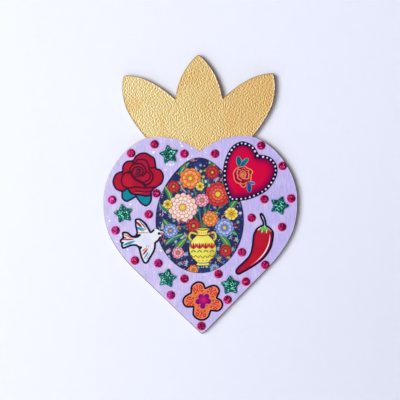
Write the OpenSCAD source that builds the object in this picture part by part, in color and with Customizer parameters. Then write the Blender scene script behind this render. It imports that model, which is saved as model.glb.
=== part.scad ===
// Wall ornament: a painted board cut as a heart under a crown of three leaves.
// Printed cut-outs, foam stars and faceted stones are glued on its face, and a
// sawtooth hanger is pinned to its back. The board stands upright: X runs across
// it, Z runs up, the face looks along -Y, and the origin is the middle notch of
// the hanger, where the nail bears.

/* [Board] */
// Width of the heart across its two lobes
heart_w = 139.6; // [136:0.2:150]
// Height of the heart, from its tip to the top of its lobes
heart_h = 141.4; // [139:0.2:150]
// Width of the crown across its outer leaves
crown_w = 110.2; // [100:0.2:118]
// Height of the crown above the lobes of the heart
crown_h = 58.6; // [50:0.2:66]
// Thickness of the board
board_t = 3; // [2.8:0.1:6]

/* [Hanger] */
// Height of the crown's top above the notch that hangs on the nail
nail_drop = 50; // [42:0.5:58]
// Length of the hanger strip
hanger_l = 42; // [38:0.5:46]
// Height of the hanger strip above its notches
hanger_h = 6; // [5:0.1:8]
// Thickness of the hanger's sheet metal
hanger_t = 0.8; // [0.6:0.1:1]
// Length of the raised middle of the strip
bridge_l = 24; // [20:0.5:26]
// Gap between the board and the raised middle, where the nail goes
bridge_gap = 1.6; // [1.4:0.1:2.2]
// Distance from one notch to the next
notch_pitch = 3; // [2.4:0.1:3.6]
// Depth of the notches
notch_depth = 1.6; // [1:0.1:2]
// Diameter of the pins that hold the strip
pin_d = 1.2; // [1:0.05:1.4]
// Depth that the pins reach into the board
pin_reach = 2.2; // [1.6:0.1:2.4]
// Diameter of the heads of the pins
pin_head_d = 3; // [2.4:0.1:3.4]
// Height of the heads of the pins
pin_head_h = 0.7; // [0.5:0.05:0.9]

/* [Printed cut-outs] */
// Thickness of the printed card
print_t = 0.3; // [0.2:0.05:0.5]
// Width of the egg-shaped middle print
oval_w = 63.4; // [60:0.2:64]
// Height of the middle print above its widest line
oval_up = 45.4; // [42:0.2:46]
// Height of the middle print below its widest line
oval_down = 37.6; // [34:0.2:38]
// Width of the rose
rose_w = 37.2; // [34:0.2:38]
// Height of the rose with its two leaves
rose_h = 39.2; // [36:0.2:40]
// Width of the beaded heart
love_w = 39.6; // [36:0.2:40]
// Height of the beaded heart
love_h = 42.8; // [39:0.2:43.4]
// Width of the dove, from tail to beak
dove_w = 32; // [30:0.2:33]
// Height of the dove, from wing to wing
dove_h = 33.2; // [31:0.2:34]
// Width of the chili pepper
chili_w = 28.2; // [26:0.2:29]
// Height of the chili pepper with its stalk
chili_h = 44.2; // [41:0.2:45]
// Width of the flower
flower_w = 29.8; // [27:0.2:30.4]
// Height of the flower
flower_h = 28.2; // [26:0.2:28.8]

/* [Stars and stones] */
// Diameter of the foam stars over their points
star_d = 14; // [12:0.2:14.4]
// Thickness of the foam stars
star_t = 2; // [1:0.1:3]
// Diameter of the flat-backed stones
stone_d = 6; // [5:0.1:6.2]
// Height of the flat-backed stones
stone_h = 2; // [1.4:0.1:2.6]

/* [Hidden] */
// Room between a cut-out and the edge of the print that it laps over
lap_gap = 0.1;
// Width of the step where a cut-out climbs onto that print
lap_step = 0.3;
// Room around a pin in its hole
pin_room = 0.05;
// Overrun of a cut past the face that it opens
cut_over = 1;
// Straight pieces that stand for one arc of an outline
arc_steps = 8;
// Corner points of the egg-shaped print
oval_points = 80;
// Points of a star
star_points = 5;
// Sides of a stone
stone_sides = 12;

// Levels along Y, from the wall side to the face
board_back = -(hanger_t / 2 + bridge_gap);
board_face = board_back - board_t;
// Levels along Z
lobe_z = nail_drop - crown_h;
tip_z = lobe_z - heart_h;

// Room that is left in the row of dove, middle print and chili pepper, and in
// the column of middle print and flower
row_room = 16;
column_room = 30.2;
// Where a row or a column gets too long for the heart, every cut-out, star and
// stone comes smaller in the same share. On a larger heart they lie further apart.
row_l = dove_w + oval_w + chili_w + row_room;
column_l = oval_up + oval_down + flower_h + column_room;
fit_share = min(1, heart_w / row_l, heart_h / column_l);

// Right half of the heart, from its tip to its notch.
// Each row is [across, up, bulge], in hundredths: the first two are shares of
// the width and the height, and the third is the bow of the arc that starts
// there, as a share of half its chord.
heart_half_shares = [
    [0, 0, 19], [1, 0.4, 0], [35, 33.6, 9], [47.3, 51, 9], [50, 67.2, 14],
    [44.8, 84.8, 12.5], [32.2, 97.6, 16], [21.5, 100, 8.5], [8.6, 97.6, 5], [0, 92.4, 0]
] / 100;
// Right half of the crown, from inside the heart round the outer leaf to the top
crown_half_shares = [
    [0, -24, 0], [33.1, -4.1, 8], [47.2, 34, 10], [50, 62.5, 2], [49.5, 72.4, 30],
    [47.7, 76.3, 11.5], [31.8, 68.6, 7], [15.6, 46.4, 5], [13, 66.2, 13], [1.1, 99.3, 16],
    [0, 100, 0]
] / 100;
rose_shares = [
    [-10, 35.5, 4], [-21, 34.5, 22], [-31, 23, 6], [-31, 16, 10], [-43, 11.5, 16],
    [-50, -4, 18], [-43, -18.5, 10], [-33, -22.5, 3], [-33, -33, 28], [-22, -41.5, 4],
    [-5, -33, 2], [2, -43, 14], [14, -50, 30], [26, -38, 6], [26, -24, -6], [30.5, -18.5, 3],
    [45, -9.5, 14], [50, 5, 20], [43, 18, 6], [36, 20, 2], [34, 34, 24], [29, 42, -4],
    [18, 48.5, 26], [-4, 44, 5]
] / 100;
love_shares = [
    [16.5, 27, 3], [9, 40, 17], [-13, 50, 19], [-34, 39.5, 10], [-46.5, 15, 7],
    [-49.5, -14, 6], [-40, -44, 32], [-30, -50, 3], [-8, -49, 7], [25.5, -36.5, 13],
    [45, -15.5, 13], [50, 2, 20], [41, 20, 14], [25, 26.5, 2]
] / 100;
dove_shares = [
    [20, 20.5, 2], [11, 37, 5], [-3, 48.5, 14], [-13, 48.5, 35], [-16.5, 44, 2],
    [-15.5, 30, -2], [-13, 18, 5], [-15, 12.5, -5], [-21, 11.5, -3], [-31, 19.5, 14],
    [-43, 20.5, 30], [-45.5, 16, 0], [-44.5, 7.5, -5], [-50, 3.5, 35], [-47.5, -5, -5],
    [-48, -9, 10], [-45, -16.5, 10], [-40, -17, 0], [-25, -11.5, -10], [-14, -11.5, -5],
    [-9.5, -15, 0], [-4, -36, 5], [1, -47, 25], [9, -50, 22], [17, -41, 0], [26, -27, 5],
    [30.5, -16, 3], [31, -6, 0], [38, -1, 4], [44, 9, 0], [50, 16.5, 20], [47, 20.5, 0],
    [41, 21.5, 12], [31, 27, 16]
] / 100;
chili_shares = [
    [32, 30, 8], [27, 44, 8], [20, 50, 45], [13.5, 47, 10], [20, 36, -6], [21, 31, 10],
    [5, 25, 10], [-4, 14, 3], [-6.5, 0, -3], [-11, -13.5, -12], [-21, -23.5, -2],
    [-43, -36.5, 10], [-50, -43.5, 30], [-45.5, -50, 25], [-34, -48.5, 2],
    [-8, -39.5, 5], [22, -26, 10], [44, -6, 4], [49.5, 10, 8], [49.5, 19, 16]
] / 100;
flower_shares = [
    [7, 34, 8], [3, 45, 38], [-21, 46, 24], [-30, 32, 0], [-30, 22, 5], [-43, 14, 20],
    [-50, 0, 22], [-43, -15, 20], [-35, -17.5, 2], [-24.5, -17, 2], [-26, -34, 16],
    [-19, -44.5, 32], [7, -48.5, 22], [17, -36, 3], [20, -27, 3], [33, -29, 20],
    [45, -22, 28], [48, -4, 10], [44, 3, 2], [35.5, 8, 6], [42, 22, 20], [38, 35, 24],
    [24, 41, 8]
] / 100;

// Places on the board: across, as a share of the heart's width from its middle,
// and up, as a share of its height from its tip
oval_place_share = [-0.6, 57.3] / 100;
rose_place_share = [-31.9, 78.7] / 100;
love_place_share = [25.6, 82.2] / 100;
dove_place_share = [-30.3, 47.5] / 100;
chili_place_share = [27.4, 45.3] / 100;
flower_place_share = [0.5, 16.7] / 100;
// Each star also has its turn, in degrees
star_place_shares = [[-16, 91], [-39.8, 61.4], [-17.9, 28.4], [14.6, 24.3], [40.3, 64.4]] / 100;
star_turns = [9, 10, -10, 2, -19];
stone_place_shares = [
    [-23.2, 96.4], [-35.3, 92], [31.5, 95], [42.4, 84.5], [-45.3, 68.5], [-43.8, 53],
    [-34.1, 37.6], [-22.1, 36], [-15.9, 19.8], [-0.4, 3.9], [22.8, 26.1], [13.2, 17.1],
    [32.8, 34.5], [41.7, 53.6], [32.8, 67.8], [46.6, 68]
] / 100;
// Stones that lie round the middle print: the place along its outline as a share
// of a turn, and the gap to it as a share of a stone's diameter
rim_stone_shares = [
    [0.5, 43], [19.5, 52], [29.9, 43], [43.2, 4], [48.4, 33], [70.2, 48], [80.9, 12], [90.6, 21]
] / 100;
// Step along that outline over which its lean is taken, as a share of a turn
rim_step_share = 0.001;

// How much narrower the egg gets towards its top than an ellipse would be
oval_taper_share = 0.23;
// Blunt end of a star's point: [angle from the point's middle in degrees, radius share]
star_tip_shares = [[-4, 0.98], [0, 1], [4, 0.98]];
// Inner radius of each star, as a share of its outer radius
star_waist_shares = [0.58, 0.6, 0.6, 0.65, 0.6];
// Rings of a stone, from its back to its table: [radius, height, turn in steps]
stone_ring_shares = [[1, 0, 0], [1, 0.25, 0], [0.82, 0.7, 0.5], [0.5, 1, 0]];
// Round corners of the hanger's feet, as a share of the strip's height
hanger_corner_share = 0.3;
// Length of a ramp of the bridge, as a share of the rise
hanger_ramp_share = 0.8;
// Width of the flat between two notches, as a share of their pitch
notch_flat_share = 0.2;
// Length of a pin's point, as a share of its diameter
pin_point_share = 0.8;
// Head of a pin from its rim to its crown: [radius, height]
pin_head_shares = [[1, 0], [1, 0.35], [0.65, 0.85], [0, 1]];
// Sides of what is round
round_sides = 48;

stone_count = len(rim_stone_shares) + len(stone_place_shares);
star_names = [for (i = [1 : len(star_place_shares)]) str("star_", i)];
stone_names = [for (i = [1 : stone_count]) str("stone_", i)];

// Point on the board for a place given in shares
function spot(share) = [share.x * heart_w, tip_z + share.y * heart_h];

// Points of the arc from p to q, without q. The chord from p to the point at
// part t of the arc is as long as the sine of t times half the turn, and leans
// off the main chord by the rest of it.
function arc_span(p, q, bulge) =
    let (
        chord = q - p,
        half_turn = 2 * atan(bulge),
        heading = atan2(chord.y, chord.x)
    )
    abs(bulge) < 0.001 ? [p] : [
        for (i = [0 : arc_steps - 1])
            let (
                t = i / arc_steps,
                reach = norm(chord) * sin(half_turn * t) / sin(half_turn),
                lean = heading - half_turn * (1 - t)
            )
            p + reach * [cos(lean), sin(lean)]
    ];

// Corner points of a cut-out's closed outline, whose rows are shares of w and h
function cut_out_outline(rows, w, h, middle) =
    let (size = fit_share * [w, h])
    [
        for (i = [0 : len(rows) - 1])
            let (a = rows[i], b = rows[(i + 1) % len(rows)])
                each arc_span(
                    [a.x * size.x, a.y * size.y] + middle,
                    [b.x * size.x, b.y * size.y] + middle, a.z)
    ];

// The same for an outline of which only the right half is given
function right_half(rows, w, h, foot) = [
    for (i = [0 : len(rows) - 2])
        let (a = rows[i], b = rows[i + 1])
            each arc_span([a.x * w, foot + a.y * h], [b.x * w, foot + b.y * h], a.z)
];
function mirrored_outline(rows, w, h, foot) =
    let (
        half = right_half(rows, w, h, foot),
        last = rows[len(rows) - 1]
    )
    concat(half, [[last.x * w, foot + last.y * h]],
        [for (i = [len(half) - 1 : -1 : 1]) [-half[i].x, half[i].y]]);

// Point on the egg's outline at a share of a turn. Above its widest line the egg
// narrows with the square of the height.
function oval_point(turn, grow = 0) =
    let (
        across = cos(360 * turn),
        up = sin(360 * turn),
        half_w = fit_share * oval_w / 2 + grow,
        reach = fit_share * (up > 0 ? oval_up : oval_down) + grow,
        narrowing = up > 0 ? oval_taper_share * up * up : 0
    )
    spot(oval_place_share) + [across * half_w * (1 - narrowing), up * reach];
function oval_outline(grow = 0) =
    [for (i = [0 : oval_points - 1]) oval_point(i / oval_points, grow)];

// Middle of a stone that lies outside the egg, square to its outline
function rim_spot(share) =
    let (
        along = oval_point(share.x + rim_step_share) - oval_point(share.x - rim_step_share),
        outward = [along.y, -along.x] / norm(along)
    )
    oval_point(share.x) + outward * fit_share * stone_d * (share.y + 1 / 2);
stone_places = concat(
    [for (share = rim_stone_shares) rim_spot(share)],
    [for (share = stone_place_shares) spot(share)]);

// Stands a flat form upright with its back at a level along Y, t thick
module upright(level, t) {
    translate([0, level, 0])
        rotate([90, 0, 0])
            linear_extrude(t)
                children();
}

// A cut-out that lies on the board all over
module flat_cut_out(points) {
    upright(board_face, print_t)
        polygon(points);
}

// A cut-out that laps over the middle print and steps up onto it
module lapped_cut_out(points) {
    upright(board_face, print_t)
        difference() {
            polygon(points);
            polygon(oval_outline(lap_gap));
        }
    upright(board_face - print_t, print_t)
        intersection() {
            polygon(points);
            polygon(oval_outline(lap_gap + lap_step));
        }
}

// Places of the two pins, in the middle of the strip's feet
module at_pins() {
    foot_middle = (hanger_l + bridge_l) / 4 + hanger_ramp_share * bridge_gap / 2;
    for (side = [-1, 1])
        translate([side * foot_middle, board_back, hanger_h / 2])
            children();
}

module board() {
    color("#c9bcf0")
        difference() {
            upright(board_back, board_t)
                union() {
                    polygon(mirrored_outline(heart_half_shares, heart_w, heart_h, tip_z));
                    polygon(mirrored_outline(crown_half_shares, crown_w, crown_h, lobe_z));
                }
            at_pins()
                rotate([90, 0, 0])
                    translate([0, 0, -cut_over])
                        cylinder(
                            d = pin_d + 2 * pin_room, h = pin_reach + pin_room + cut_over,
                            $fn = round_sides);
        }
}

module oval_print() {
    color("#2a2f4f")
        flat_cut_out(oval_outline());
}

module rose_print() {
    color("#b71f35")
        flat_cut_out(cut_out_outline(rose_shares, rose_w, rose_h, spot(rose_place_share)));
}

module beaded_heart_print() {
    color("#c8103f")
        lapped_cut_out(cut_out_outline(love_shares, love_w, love_h, spot(love_place_share)));
}

module dove_print() {
    color("#e6e6f4")
        lapped_cut_out(cut_out_outline(dove_shares, dove_w, dove_h, spot(dove_place_share)));
}

module chili_print() {
    color("#b3152d")
        flat_cut_out(cut_out_outline(chili_shares, chili_w, chili_h, spot(chili_place_share)));
}

module flower_print() {
    color("#ee7a50")
        flat_cut_out(cut_out_outline(flower_shares, flower_w, flower_h, spot(flower_place_share)));
}

// A five-pointed star of glitter foam
module star(i) {
    rows = concat(star_tip_shares, [[180 / star_points, star_waist_shares[i]]]);
    points = [
        for (k = [0 : star_points - 1], row = rows)
            let (
                angle = 90 + star_turns[i] + 360 * k / star_points + row.x,
                radius = fit_share * star_d / 2 * row.y
            )
            spot(star_place_shares[i]) + radius * [cos(angle), sin(angle)]
    ];
    color("#1f7a55")
        upright(board_face, star_t)
            polygon(points);
}

// A flat-backed stone: a short girdle, two rows of facets and a table
module stone(i) {
    n = stone_sides;
    rings = len(stone_ring_shares);
    place = stone_places[i];
    points = [
        for (ring = stone_ring_shares, k = [0 : n - 1])
            let (angle = 360 * (k + ring[2]) / n, radius = fit_share * ring[0] * stone_d / 2)
            [radius * cos(angle), radius * sin(angle), ring[1] * stone_h]
    ];
    girdle = [for (k = [0 : n - 1]) [k, n + k, n + (k + 1) % n, (k + 1) % n]];
    lower_facets = [
        for (k = [0 : n - 1])
            each [
                [n + k, 2 * n + k, n + (k + 1) % n],
                [2 * n + k, 2 * n + (k + 1) % n, n + (k + 1) % n]
            ]
    ];
    upper_facets = [
        for (k = [0 : n - 1])
            each [
                [2 * n + k, 3 * n + (k + 1) % n, 2 * n + (k + 1) % n],
                [2 * n + k, 3 * n + k, 3 * n + (k + 1) % n]
            ]
    ];
    back = [[for (k = [0 : n - 1]) k]];
    table = [[for (k = [n - 1 : -1 : 0]) (rings - 1) * n + k]];
    color("#b8094f")
        translate([place.x, board_face, place.y])
            rotate([90, 0, 0])
                polyhedron(points, concat(back, girdle, lower_facets, upper_facets, table));
}

// Side view of the hanger strip, seen from above: feet on the board, ramps and
// the raised middle
function strip_profile() =
    let (
        end = hanger_l / 2,
        top = bridge_l / 2,
        ramp = hanger_ramp_share * bridge_gap,
        shift = hanger_t * (sqrt(1 + pow(hanger_ramp_share, 2)) - hanger_ramp_share),
        right_inner = [[top + ramp, 0], [top, bridge_gap]],
        right_outer = [[top + shift, bridge_gap + hanger_t], [top + ramp + shift, hanger_t]]
    )
    concat(
        [[end, 0]], right_inner, [for (p = [right_inner[1], right_inner[0]]) [-p.x, p.y]],
        [[-end, 0], [-end, hanger_t]],
        [for (p = [right_outer[1], right_outer[0]]) [-p.x, p.y]], right_outer,
        [[end, hanger_t]]);

// Front view of the strip: rounded feet and a row of notches under the bridge
function strip_face() =
    let (
        end = hanger_l / 2,
        corner = hanger_corner_share * hanger_h,
        flat = notch_flat_share * notch_pitch / 2,
        count = floor((bridge_l / 2 - notch_pitch / 2) / notch_pitch),
        feet = [
            [end - corner, -notch_depth], [end, corner - notch_depth],
            [end, hanger_h - corner], [end - corner, hanger_h]
        ]
    )
    concat(
        [for (k = [-count : count], part = [-1, 0, 1])
            [k * notch_pitch + part * (notch_pitch / 2 - flat), part == 0 ? 0 : -notch_depth]],
        feet,
        [for (i = [3 : -1 : 0]) [-feet[i].x, feet[i].y]]);

module sawtooth_hanger() {
    color("#b9a06a")
        difference() {
            intersection() {
                translate([0, board_back, -notch_depth])
                    linear_extrude(hanger_h + notch_depth)
                        polygon(strip_profile());
                upright(board_back + bridge_gap + hanger_t, bridge_gap + hanger_t)
                    polygon(strip_face());
            }
            at_pins()
                rotate([-90, 0, 0])
                    translate([0, 0, -cut_over])
                        cylinder(
                            d = pin_d + 2 * pin_room, h = hanger_t + 2 * cut_over,
                            $fn = round_sides);
        }
}

// Two short pins, each with a point, a shank and a low round head
module hanger_pins() {
    shank = [
        [0, -pin_reach], [pin_d / 2, pin_point_share * pin_d - pin_reach], [pin_d / 2, hanger_t]
    ];
    head = [
        for (share = pin_head_shares)
            [share.x * pin_head_d / 2, hanger_t + share.y * pin_head_h]
    ];
    color("#c9b172")
        at_pins()
            rotate([-90, 0, 0])
                rotate_extrude($fn = round_sides)
                    polygon(concat(shank, head));
}

board();
oval_print();
rose_print();
beaded_heart_print();
dove_print();
chili_print();
flower_print();
for (i = [0 : len(star_names) - 1])
    star(i);
for (i = [0 : len(stone_names) - 1])
    stone(i);
sawtooth_hanger();
hanger_pins();
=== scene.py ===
"""Looks of a heart-shaped wall ornament: painted board, printed cut-outs, foam stars, stones.

Lengths are in millimetres while a shape is worked out and in metres in the meshes.
The board stands upright: X runs across it, Z up, and its face looks along -Y.
"""
import math

import bmesh
import bpy
import numpy as np
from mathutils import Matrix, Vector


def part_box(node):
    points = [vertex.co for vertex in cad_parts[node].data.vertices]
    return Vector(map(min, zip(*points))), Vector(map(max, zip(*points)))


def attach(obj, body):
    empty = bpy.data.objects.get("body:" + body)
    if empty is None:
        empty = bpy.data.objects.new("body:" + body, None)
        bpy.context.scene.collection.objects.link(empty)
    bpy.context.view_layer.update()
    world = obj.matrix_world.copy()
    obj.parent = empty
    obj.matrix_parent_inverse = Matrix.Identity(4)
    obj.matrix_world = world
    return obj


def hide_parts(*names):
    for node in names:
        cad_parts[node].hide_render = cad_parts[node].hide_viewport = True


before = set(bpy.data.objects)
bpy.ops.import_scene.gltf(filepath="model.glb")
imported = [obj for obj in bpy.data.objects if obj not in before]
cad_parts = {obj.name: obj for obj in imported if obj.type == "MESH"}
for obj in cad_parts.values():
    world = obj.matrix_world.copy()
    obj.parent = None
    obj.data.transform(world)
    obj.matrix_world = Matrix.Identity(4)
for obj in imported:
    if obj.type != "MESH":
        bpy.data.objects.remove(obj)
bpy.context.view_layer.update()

MM = 0.001
BODY = "root"
SEED = 7
STARS = [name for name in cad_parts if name.startswith("star_")]
STONES = [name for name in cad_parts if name.startswith("stone_")]

# Level of the board's face along Y, and of what lies on it
BOARD_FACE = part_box("board")[0].y / MM
CARD = 0.3
GOLD_COAT = 0.05
LILAC_COAT = 0.08
# Width of the bare board round the paint, and the dark rim added to it as painted shade
# where the edge faces right, on the crown and on the heart, or down
BARE_RIM = 0.05
CROWN_SHADE_RIM_RIGHT = 0.65
HEART_SHADE_RIM_RIGHT = 0.4
SHADE_RIM_BELOW = 0.5
# Levels along Z between which the scorch of the heart's edge turns into the crown's
SCORCH_TURN = (-18, -12)


def shade(colour):
    """Linear red, green and blue of a colour written as six hex digits; others stay."""
    if not isinstance(colour, str):
        return colour
    parts = np.array([int(colour[i:i + 2], 16) for i in (0, 2, 4)]) / 255
    return np.where(parts > 0.04045, ((parts + 0.055) / 1.055) ** 2.4, parts / 12.92)


def blend(a, b, share):
    """Colour that lies a share of the way from a to b, at each point."""
    a, b = shade(a), shade(b)
    return a + (b - a) * np.asarray(share)[..., None]


def ramp(value, start, end):
    """0 before start, 1 after end, with a smooth rise between them."""
    t = np.clip((value - start) / (end - start), 0, 1)
    return t * t * (3 - 2 * t)


def ripple(x, z, wave_x, wave_z, seed):
    """Soft noise, mostly from -1 to 1: a sum of sines with random directions and phases,
    whose lengths lie around wave_x and wave_z."""
    waves = 14
    draw = np.random.default_rng(seed)
    turns = draw.uniform(0, 2 * math.pi, waves)
    phases = draw.uniform(0, 2 * math.pi, waves)
    sizes = draw.uniform(0.6, 1.6, waves)
    total = sum(
        np.sin(2 * math.pi * s * (x * math.cos(a) / wave_x + z * math.sin(a) / wave_z) + p)
        for a, p, s in zip(turns, phases, sizes)
    )
    return total / math.sqrt(2 * waves)


# Outlines, taken from the nodes themselves

def front_rim(name):
    """Edges of a flat node's outline in X and Z: those that just one of its front-facing
    triangles has."""
    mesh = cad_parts[name].data
    places = np.zeros(len(mesh.vertices) * 3, np.float32)
    mesh.vertices.foreach_get("co", places)
    mesh.calc_loop_triangles()
    corners = np.zeros(len(mesh.loop_triangles) * 3, np.int32)
    mesh.loop_triangles.foreach_get("vertices", corners)
    tri = places.reshape(-1, 3)[corners].reshape(-1, 3, 3).astype(float) / MM
    facing = np.cross(tri[:, 1] - tri[:, 0], tri[:, 2] - tri[:, 0])
    front = tri[facing[:, 1] < -0.5 * np.linalg.norm(facing, axis=1)][:, :, [0, 2]]
    edges = np.concatenate([front[:, [0, 1]], front[:, [1, 2]], front[:, [2, 0]]])
    keys = np.round(edges.mean(1) * 1000).astype(int)
    _, first, count = np.unique(keys, axis=0, return_index=True, return_counts=True)
    return edges[first[count == 1]]


def to_edge(x, z, start, end):
    """Distance of points from an edge, and the share of its length where they are nearest."""
    (ax, az), (ux, uz) = start, end - start
    t = np.clip(((x - ax) * ux + (z - az) * uz) / (ux * ux + uz * uz + 1e-12), 0, 1)
    return np.hypot(x - ax - t * ux, z - az - t * uz), t


def depth_in(rim, x, z):
    """Distance from points to the nearest edge of an outline, positive inside it. A line to
    the right from a point inside crosses the outline an odd number of times."""
    near = np.full(x.shape, 1e9)
    odd = np.zeros(x.shape, bool)
    for start, end in rim:
        near = np.minimum(near, to_edge(x, z, start, end)[0])
        (ax, az), (ux, uz) = start, end - start
        if uz != 0:
            odd ^= ((az > z) != (end[1] > z)) & (x < ax + (z - az) * ux / uz)
    return np.where(odd, near, -near)


def smooth(points, closed=False):
    """Points of the soft curve through the given ones: on each span the cubic that leaves
    and arrives along the line between a point's two neighbours."""
    steps = 7
    p = np.asarray(points, float)
    if closed:
        p = np.concatenate([p[-1:], p, p[:2]])
    else:
        p = np.concatenate([2 * p[:1] - p[1:2], p, 2 * p[-1:] - p[-2:-1]])
    a, b, c, d = (p[i:len(p) - 3 + i, None] for i in range(4))
    t = (np.arange(steps) / steps)[None, :, None]
    curve = b + t / 2 * (c - a + t * (2 * a - 5 * b + 4 * c - d + t * (3 * (b - c) + d - a)))
    return np.concatenate([curve.reshape(-1, 2), p[-2:-1]])


def span_edges(path):
    """A path's points as edges from each to the next."""
    return np.stack([path[:-1], path[1:]], 1)


# Lattices: surfaces on a square grid, cut along an outline

class Lattice:
    """A square grid cut where a field, which is positive inside, is zero. Going round a
    cell, its inside corners and the zero points on its sides make its face in turn."""

    def __init__(self, field, low, high, cell, snap=0.06):
        lines = [np.arange(a - cell, b + 2 * cell, cell) for a, b in zip(low, high)]
        x, z = np.meshgrid(*lines, indexing="ij")
        f = field(x, z)
        f = np.where(f < 0, np.minimum(f, -snap * cell), np.maximum(f, snap * cell))
        inside = f > 0
        cut_x = inside[:-1] != inside[1:]
        cut_z = inside[:, :-1] != inside[:, 1:]
        self.inner = int(inside.sum())
        corner = self.numbered(inside, 0)
        on_x = self.numbered(cut_x, self.inner)
        on_z = self.numbered(cut_z, self.inner + int(cut_x.sum()))
        share_x = f[:-1][cut_x] / (f[:-1][cut_x] - f[1:][cut_x])
        share_z = f[:, :-1][cut_z] / (f[:, :-1][cut_z] - f[:, 1:][cut_z])
        self.x = np.concatenate([x[inside], x[:-1][cut_x] + cell * share_x, x[:, :-1][cut_z]])
        self.z = np.concatenate([z[inside], z[:-1][cut_x], z[:, :-1][cut_z] + cell * share_z])
        ring = np.stack([
            corner[:-1, :-1], on_x[:, :-1], corner[1:, :-1], on_z[1:],
            corner[1:, 1:], on_x[:, 1:], corner[:-1, 1:], on_z[:-1],
        ], -1).reshape(-1, 8)
        ring = ring[(ring >= 0).sum(1) > 2]
        self.corners = ring[ring >= 0]
        self.counts = (ring >= 0).sum(1)
        last = np.cumsum(self.counts) - 1
        following = np.arange(len(self.corners)) + 1
        following[last] = last - self.counts + 1
        ends = np.stack([self.corners, self.corners[following]], 1)
        self.rim = ends[(ends >= self.inner).all(1)]

    @staticmethod
    def numbered(chosen, start):
        """Running numbers from start where chosen, and -1 elsewhere."""
        ids = np.full(chosen.shape, -1)
        ids[chosen] = start + np.arange(int(chosen.sum()))
        return ids


def put(name, data):
    """An object with a mesh, camera or lamp of its own, put into the scene."""
    made = bpy.data.objects.new(name, data)
    bpy.context.scene.collection.objects.link(made)
    return made


def add_piece(name, places, corners, counts, flat, colours, domain, material):
    """A mesh piece that rides on the ornament, from places in mm and one flat corner list."""
    mesh = bpy.data.meshes.new(name)
    mesh.vertices.add(len(places))
    mesh.vertices.foreach_set("co", (places * MM).astype(np.float32).ravel())
    mesh.loops.add(len(corners))
    mesh.loops.foreach_set("vertex_index", corners.astype(np.int32))
    mesh.polygons.add(len(counts))
    mesh.polygons.foreach_set("loop_start", (np.cumsum(counts) - counts).astype(np.int32))
    mesh.polygons.foreach_set("use_smooth", np.logical_not(flat))
    mesh.update(calc_edges=True)
    ink = mesh.attributes.new("ink", "FLOAT_COLOR", domain)
    rgba = np.concatenate([np.clip(colours, 0, 1), np.ones((len(colours), 1))], 1)
    ink.data.foreach_set("color", rgba.astype(np.float32).ravel())
    mesh.materials.append(material)
    piece = put(name, mesh)
    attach(piece, BODY)
    return piece


def close_back(mesh):
    """Fills a mesh's open rims with one flat face each, looking along +Y."""
    work = bmesh.new()
    work.from_mesh(mesh)
    rim = [edge for edge in work.edges if edge.is_boundary]
    for face in bmesh.ops.holes_fill(work, edges=rim, sides=0)["faces"]:
        face.normal_update()
        if face.normal.y < 0:
            face.normal_flip()
    work.to_mesh(mesh)
    work.free()


def add_slab(name, net, front, back, colours, edge_colour, material, grain=False):
    """A closed piece on a lattice. Its front and back lie at levels along Y and a wall
    joins them. A back that is a single level becomes one flat face. With grain, colours
    go by face and the front is faceted."""
    rim_start = len(net.x)
    front_places = np.stack([net.x, np.broadcast_to(front, net.x.shape), net.z], 1)
    if np.ndim(back):
        back_places = np.stack([net.x, back, net.z], 1)
        shift = rim_start
    else:
        edge = slice(net.inner, None)
        back_places = np.stack([net.x[edge], np.full(net.x[edge].shape, back), net.z[edge]], 1)
        shift = rim_start - net.inner
    a, b = net.rim.T
    wall = np.stack([b, a, a + shift, b + shift], 1).ravel()
    parts = [net.corners, wall]
    counts = [net.counts, np.full(len(a), 4)]
    if np.ndim(back):
        parts.append(net.corners[::-1] + shift)
        counts.append(net.counts[::-1])
    counts = np.concatenate(counts)
    flat = np.arange(len(counts)) >= (0 if grain else len(net.counts))
    others = (len(counts) - len(net.counts)) if grain else len(back_places)
    tones = np.concatenate([colours, np.tile(shade(edge_colour), (others, 1))])
    piece = add_piece(
        name, np.concatenate([front_places, back_places]), np.concatenate(parts), counts,
        flat, tones, "FACE" if grain else "POINT", material)
    if not np.ndim(back):
        close_back(piece.data)
    return piece


# Materials

class Wire:
    """An output socket that can be written into sums: each operator adds a Math node."""

    def __init__(self, shader, socket):
        self.shader, self.socket = shader, socket

    def maths(self, operation, a, b):
        return self.shader.node("Math", {"operation": operation}, {0: a, 1: b})

    def __add__(self, other): return self.maths("ADD", self, other)
    def __radd__(self, other): return self.maths("ADD", other, self)
    def __sub__(self, other): return self.maths("SUBTRACT", self, other)
    def __rsub__(self, other): return self.maths("SUBTRACT", other, self)
    def __mul__(self, other): return self.maths("MULTIPLY", self, other)
    def __rmul__(self, other): return self.maths("MULTIPLY", other, self)

    def between(self, start, end):
        """0 before start, 1 after end, and a smooth rise between them."""
        return self.shader.node(
            "MapRange", {"interpolation_type": "SMOOTHSTEP"}, {0: self, 1: start, 2: end})


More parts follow.
